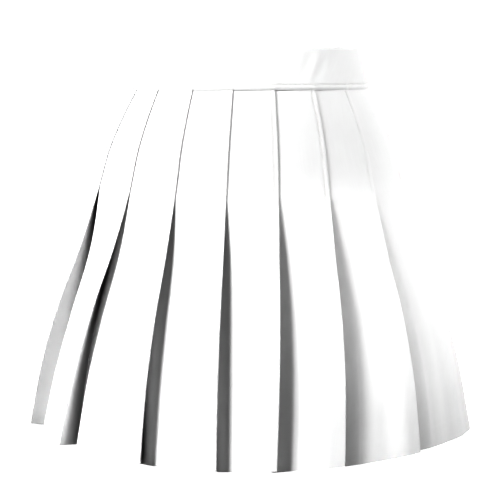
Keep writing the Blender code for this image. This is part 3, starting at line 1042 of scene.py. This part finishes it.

# %% [markdown]
# ## The cloth
# Each width of cloth is a sheet, with the size that it was cut to. The pleats hang from
# the waistband, and the waistband is the strip that shows, folded double.

# %% [markdown]
# ## A weave for every cloth
# All the cloth is woven, only at different scales, so the weave is a node group that each
# material places with its own numbers. It reads the UV map, which is the flat cloth in
# metres. Diagonal ribs make a twill. Long soft noise along the threads makes some yarns a
# little thicker and brighter than others.


# %% Weave group
def new_group(name, inputs, outputs):
    tree = bpy.data.node_groups.new(name, "ShaderNodeTree")
    for title, kind, value in inputs:
        socket = tree.interface.new_socket(name=title, in_out="INPUT", socket_type=kind)
        if value is not None:
            socket.default_value = value
    for title, kind in outputs:
        tree.interface.new_socket(name=title, in_out="OUTPUT", socket_type=kind)
    return tree, tree.nodes.new("NodeGroupInput"), tree.nodes.new("NodeGroupOutput")


def fill(tree, node, inputs):
    """Gives a node's inputs their values, and links those that are given a socket."""
    for name, value in inputs.items():
        if isinstance(value, bpy.types.NodeSocket):
            tree.links.new(value, node.inputs[name])
        else:
            node.inputs[name].default_value = value


def add_node(tree, kind, inputs):
    node = tree.nodes.new("ShaderNode" + kind)
    fill(tree, node, inputs)
    return node


def math_node(tree, operation, *terms):
    node = add_node(tree, "Math", dict(enumerate(terms)))
    node.operation = operation
    return node.outputs[0]


CROSSING_HEIGHT = 0.3
YARN_SCALE = (900.0, 22.0, 1.0)


def build_weave():
    tree, inside, out = new_group(
        "weave",
        [
            ("Place", "NodeSocketVector", None),
            ("Rib pitch", "NodeSocketFloat", 0.0006),
            ("Slant", "NodeSocketFloat", 1.0),
            ("Yarn unevenness", "NodeSocketFloat", 0.03),
        ],
        [("Height", "NodeSocketFloat"), ("Tone", "NodeSocketFloat")],
    )
    place, pitch = inside.outputs["Place"], inside.outputs["Rib pitch"]
    across, along, _ = add_node(tree, "SeparateXYZ", {0: place}).outputs
    slanted = math_node(tree, "MULTIPLY", across, inside.outputs["Slant"])
    turns = math_node(tree, "DIVIDE", math_node(tree, "ADD", slanted, along), pitch)
    ribs = math_node(tree, "SINE", math_node(tree, "MULTIPLY", turns, 2 * math.pi))
    picks = math_node(tree, "DIVIDE", along, pitch)
    crossing = math_node(tree, "SINE", math_node(tree, "MULTIPLY", picks, 4 * math.pi))
    low = math_node(tree, "MULTIPLY", crossing, CROSSING_HEIGHT)
    tree.links.new(math_node(tree, "ADD", ribs, low), out.inputs["Height"])
    drawn_out = add_node(tree, "Mapping", {"Scale": YARN_SCALE, "Vector": place}).outputs[0]
    yarns = add_node(tree, "TexNoise", {"Scale": 1.0, "Detail": 2.0, "Vector": drawn_out})
    clouds = add_node(tree, "TexNoise", {"Scale": 28.0, "Detail": 3.0, "Vector": place})
    uneven = math_node(tree, "ADD", yarns.outputs[0], clouds.outputs[0])
    centred = math_node(tree, "SUBTRACT", uneven, 1.0)
    scaled = math_node(tree, "MULTIPLY", centred, inside.outputs["Yarn unevenness"])
    tree.links.new(math_node(tree, "ADD", scaled, 1.0), out.inputs["Tone"])
    return tree


weave = build_weave()
print("weave group:", len(weave.nodes), "nodes")

# %% [markdown]
# ## Materials
# The cloth is a smooth white twill with a faint sheen where it turns away. The thread is
# a little glossier than the cloth, the zip's tape is a twill with coarser, steeper ribs, its
# loops are nylon, and the slider is nickel-plated with fine scratches along it.


# %% Cloth materials
def new_material(name, colour, roughness):
    made = bpy.data.materials.new(name)
    made.use_nodes = True
    shader = made.node_tree.nodes["Principled BSDF"]
    fill(made.node_tree, shader, {"Base Color": (*colour, 1.0), "Roughness": roughness})
    made.diffuse_color = (*colour, 1.0)
    return made, made.node_tree, shader


SHEEN = {"Sheen Weight": 0.12, "Sheen Roughness": 0.45, "Specular IOR Level": 0.25}


def cloth_material(name, colour, roughness, rib_pitch, slant, unevenness, bump):
    made, tree, shader = new_material(name, colour, roughness)
    place = tree.nodes.new("ShaderNodeUVMap")
    place.uv_map = "UVMap"
    woven = tree.nodes.new("ShaderNodeGroup")
    woven.node_tree = weave
    numbers = {"Rib pitch": rib_pitch, "Slant": slant, "Yarn unevenness": unevenness}
    fill(tree, woven, {"Place": place.outputs[0], **numbers})
    tint = tree.nodes.new("ShaderNodeMix")
    tint.data_type = "RGBA"
    tint.blend_type = "MULTIPLY"
    grey = add_node(tree, "CombineColor", dict.fromkeys(range(3), woven.outputs["Tone"]))
    fill(tree, tint, {"Factor": 1.0, 6: (*colour, 1.0), 7: grey.outputs[0]})
    height = woven.outputs["Height"]
    relief = add_node(tree, "Bump", {"Strength": 1.0, "Distance": bump, "Height": height})
    fill(tree, shader, {"Base Color": tint.outputs[2], "Normal": relief.outputs[0], **SHEEN})
    return made


def dress(piece, material):
    piece.data.materials.clear()
    piece.data.materials.append(material)


CLOTH_WHITE = (0.78, 0.78, 0.78)
white_twill = cloth_material("white_twill", CLOTH_WHITE, 0.78, 0.0007, 1.0, 0.030, 0.000012)
band_twill = cloth_material("band_twill", CLOTH_WHITE, 0.78, 0.0007, -1.0, 0.030, 0.000012)
tape_weave = cloth_material("tape_weave", (0.80, 0.80, 0.80), 0.70, 0.0009, 2.0, 0.050, 0.000030)
for piece, _ in pleated.values():
    dress(piece, white_twill)
dress(waistband, band_twill)
dress(tape_left, tape_weave)
dress(tape_right, tape_weave)
print("cloth materials:", white_twill.name, band_twill.name, tape_weave.name)


# %% Thread and nylon
def strand_material(name, colour, roughness, twist, bump):
    """Fine lines in object space, for thread that twists and for drawn nylon. The same lines give
    the relief and a painted shade: the colour is a little darker where the relief is low.
    """
    made, tree, shader = new_material(name, colour, roughness)
    place = add_node(tree, "TexCoord", {}).outputs["Object"]
    lines = add_node(tree, "TexWave", {"Scale": twist, "Distortion": 0.6, "Vector": place})
    lines.bands_direction = "DIAGONAL"
    relief = add_node(tree, "Bump", {"Distance": bump, "Height": lines.outputs[1]})
    # Painted shade: the colour is 6% darker in the low lines of the relief, as if the grooves were
    # shaded.
    shade = add_node(tree, "ValToRGB", {0: lines.outputs[1]})
    shade.color_ramp.elements[0].color = (*(0.94 * c for c in colour), 1.0)
    shade.color_ramp.elements[1].color = (*colour, 1.0)
    fill(tree, shader, {"Base Color": shade.outputs[0], "Normal": relief.outputs[0]})
    return made


white_thread = strand_material("white_thread", (0.80, 0.80, 0.79), 0.45, 700.0, 0.00002)
white_nylon = strand_material("white_nylon", (0.82, 0.82, 0.81), 0.30, 300.0, 0.00001)
for row in thread_pieces:
    dress(row, white_thread)
dress(coil, white_nylon)
print("threads:", white_thread.name, white_nylon.name)


# %% Nickel
SCRATCH_SCALE = (4000.0, 4000.0, 260.0)


def nickel_material():
    made, tree, shader = new_material("plated_nickel", (0.78, 0.77, 0.75), 0.28)
    place = add_node(tree, "TexCoord", {}).outputs["Object"]
    drawn_out = add_node(tree, "Mapping", {"Scale": SCRATCH_SCALE, "Vector": place}).outputs[0]
    scratches = add_node(tree, "TexNoise", {"Scale": 1.0, "Detail": 3.0, "Vector": drawn_out})
    depth = scratches.outputs[0]
    dull = add_node(tree, "MapRange", {"To Min": 0.20, "To Max": 0.42, "Value": depth})
    relief = add_node(tree, "Bump", {"Distance": 0.000006, "Height": depth})
    worn = {"Metallic": 1.0, "Roughness": dull.outputs[0], "Normal": relief.outputs[0]}
    fill(tree, shader, worn)
    return made


plated_nickel = nickel_material()
for piece in (slider, pull, bottom_stop):
    dress(piece, plated_nickel)
print("metal:", plated_nickel.name)

# %% [markdown]
# ## Floor, backdrop and light
# The skirt is shown on plain white, as if cut out. A large soft light from the left and a
# smaller one from the right light the panels, and a weak one fills the right side. From
# both sides the front folds keep their valleys in soft shadow. A fourth light is for the
# back, and two narrow weak ones lift the folds at the left and right edges. A floor lies
# at the height where a wearer would stand. It and the backdrop look pure white to the
# camera, and everything else sees them as pale and matt.


# %% Floor and backdrop
PAPER_WHITE = 1.4
FLOOR_LEVEL = -1.02
FLOOR_SIZE = 12.0
FLOOR_GREY = 0.3
SKY_STRENGTH = 0.10


def white_to_camera(tree, unseen, kind, out):
    """Joins a plain white for the camera with the shader that everything else sees."""
    white = add_node(tree, kind, {"Color": (1.0, 1.0, 1.0, 1.0), "Strength": PAPER_WHITE})
    path = add_node(tree, "LightPath", {})
    shaders = {0: path.outputs["Is Camera Ray"], 1: unseen.outputs[0], 2: white.outputs[0]}
    mix = add_node(tree, "MixShader", shaders)
    fill(tree, tree.nodes[out], {"Surface": mix.outputs[0]})


deselect_all()
bpy.ops.mesh.primitive_plane_add(size=FLOOR_SIZE, location=(0.0, 0.0, FLOOR_LEVEL))
floor = bpy.context.object
floor.name = "pale_floor"
floor_paint, floor_tree, floor_shader = new_material("pale_floor", (FLOOR_GREY,) * 3, 0.9)
white_to_camera(floor_tree, floor_shader, "Emission", "Material Output")
dress(floor, floor_paint)

world = bpy.data.worlds.new("studio")
bpy.context.scene.world = world
world.use_nodes = True
sky = world.node_tree
plain = sky.nodes["Background"]
fill(sky, plain, {"Color": (1.0, 1.0, 1.0, 1.0), "Strength": SKY_STRENGTH})
white_to_camera(sky, plain, "Background", "World Output")
print("floor at", FLOOR_LEVEL)

# %% Lights
Lamp = namedtuple("Lamp", "name azimuth elevation distance size watts aim")
LAMPS = (
    Lamp("left_key", -58, 23, 3.0, 1.2, 171.0, (0.0, 0.0, -0.20)),
    Lamp("right_key", 55, 33, 2.1, 0.7, 52.0, (0.03, 0.0, -0.18)),
    Lamp("right_fill", 103, 6, 2.4, 0.9, 13.0, (0.05, 0.0, -0.18)),
    Lamp("back_key", 160, 25, 3.0, 1.4, 85.0, (0.0, 0.0, -0.20)),
)


def lamp_place(lamp):
    """Degrees round from the front and up from level, and a distance from what it lights."""
    around, up = math.radians(lamp.azimuth), math.radians(lamp.elevation)
    way = Vector((math.sin(around) * math.cos(up), -math.cos(around) * math.cos(up), math.sin(up)))
    return Vector(lamp.aim) + lamp.distance * way


def add_light(lamp, kind, place, way, settings):
    light = bpy.data.lights.new(lamp.name, kind)
    light.energy = lamp.watts
    for setting, value in settings.items():
        setattr(light, setting, value)
    stand = bpy.data.objects.new(lamp.name, light)
    stand.location = place
    stand.rotation_euler = way.to_track_quat("-Z", "Y").to_euler()
    bpy.context.scene.collection.objects.link(stand)
    print("light", lamp.name, lamp.watts, "W")


for lamp in LAMPS:
    place = lamp_place(lamp)
    add_light(lamp, "AREA", place, Vector(lamp.aim) - place, {"size": lamp.size})

# %% Edge lights
EdgeLamp = namedtuple("EdgeLamp", "name aim away watts")
EDGE_LAMPS = (
    EdgeLamp("left_edge", (-0.245, 0.0, -0.30), (-0.10, -1.5, 0.10), 32.0),
    EdgeLamp("right_edge", (0.165, -0.06, -0.22), (0.7, -1.35, 0.15), 20.0),
)
SPOT = {"spot_size": math.radians(13), "spot_blend": 1.0, "shadow_soft_size": 0.03}

for lamp in EDGE_LAMPS:
    away = Vector(lamp.away)
    add_light(lamp, "SPOT", Vector(lamp.aim) + away, -away, SPOT)

# %% [markdown]
# ## Contrast of the picture
# The picture is bright: its panels are as white as the paper, and only the valleys have
# tone. A gamma below one and a little less exposure give that, with a plain transform.

# %% Contrast of the picture
CONTRAST_GAMMA = 0.46
EXPOSURE = -0.34
bpy.context.scene.view_settings.view_transform = "Standard"
bpy.context.scene.view_settings.look = "None"
bpy.context.scene.view_settings.gamma = CONTRAST_GAMMA
bpy.context.scene.view_settings.exposure = EXPOSURE
print("gamma", CONTRAST_GAMMA, "exposure", EXPOSURE)
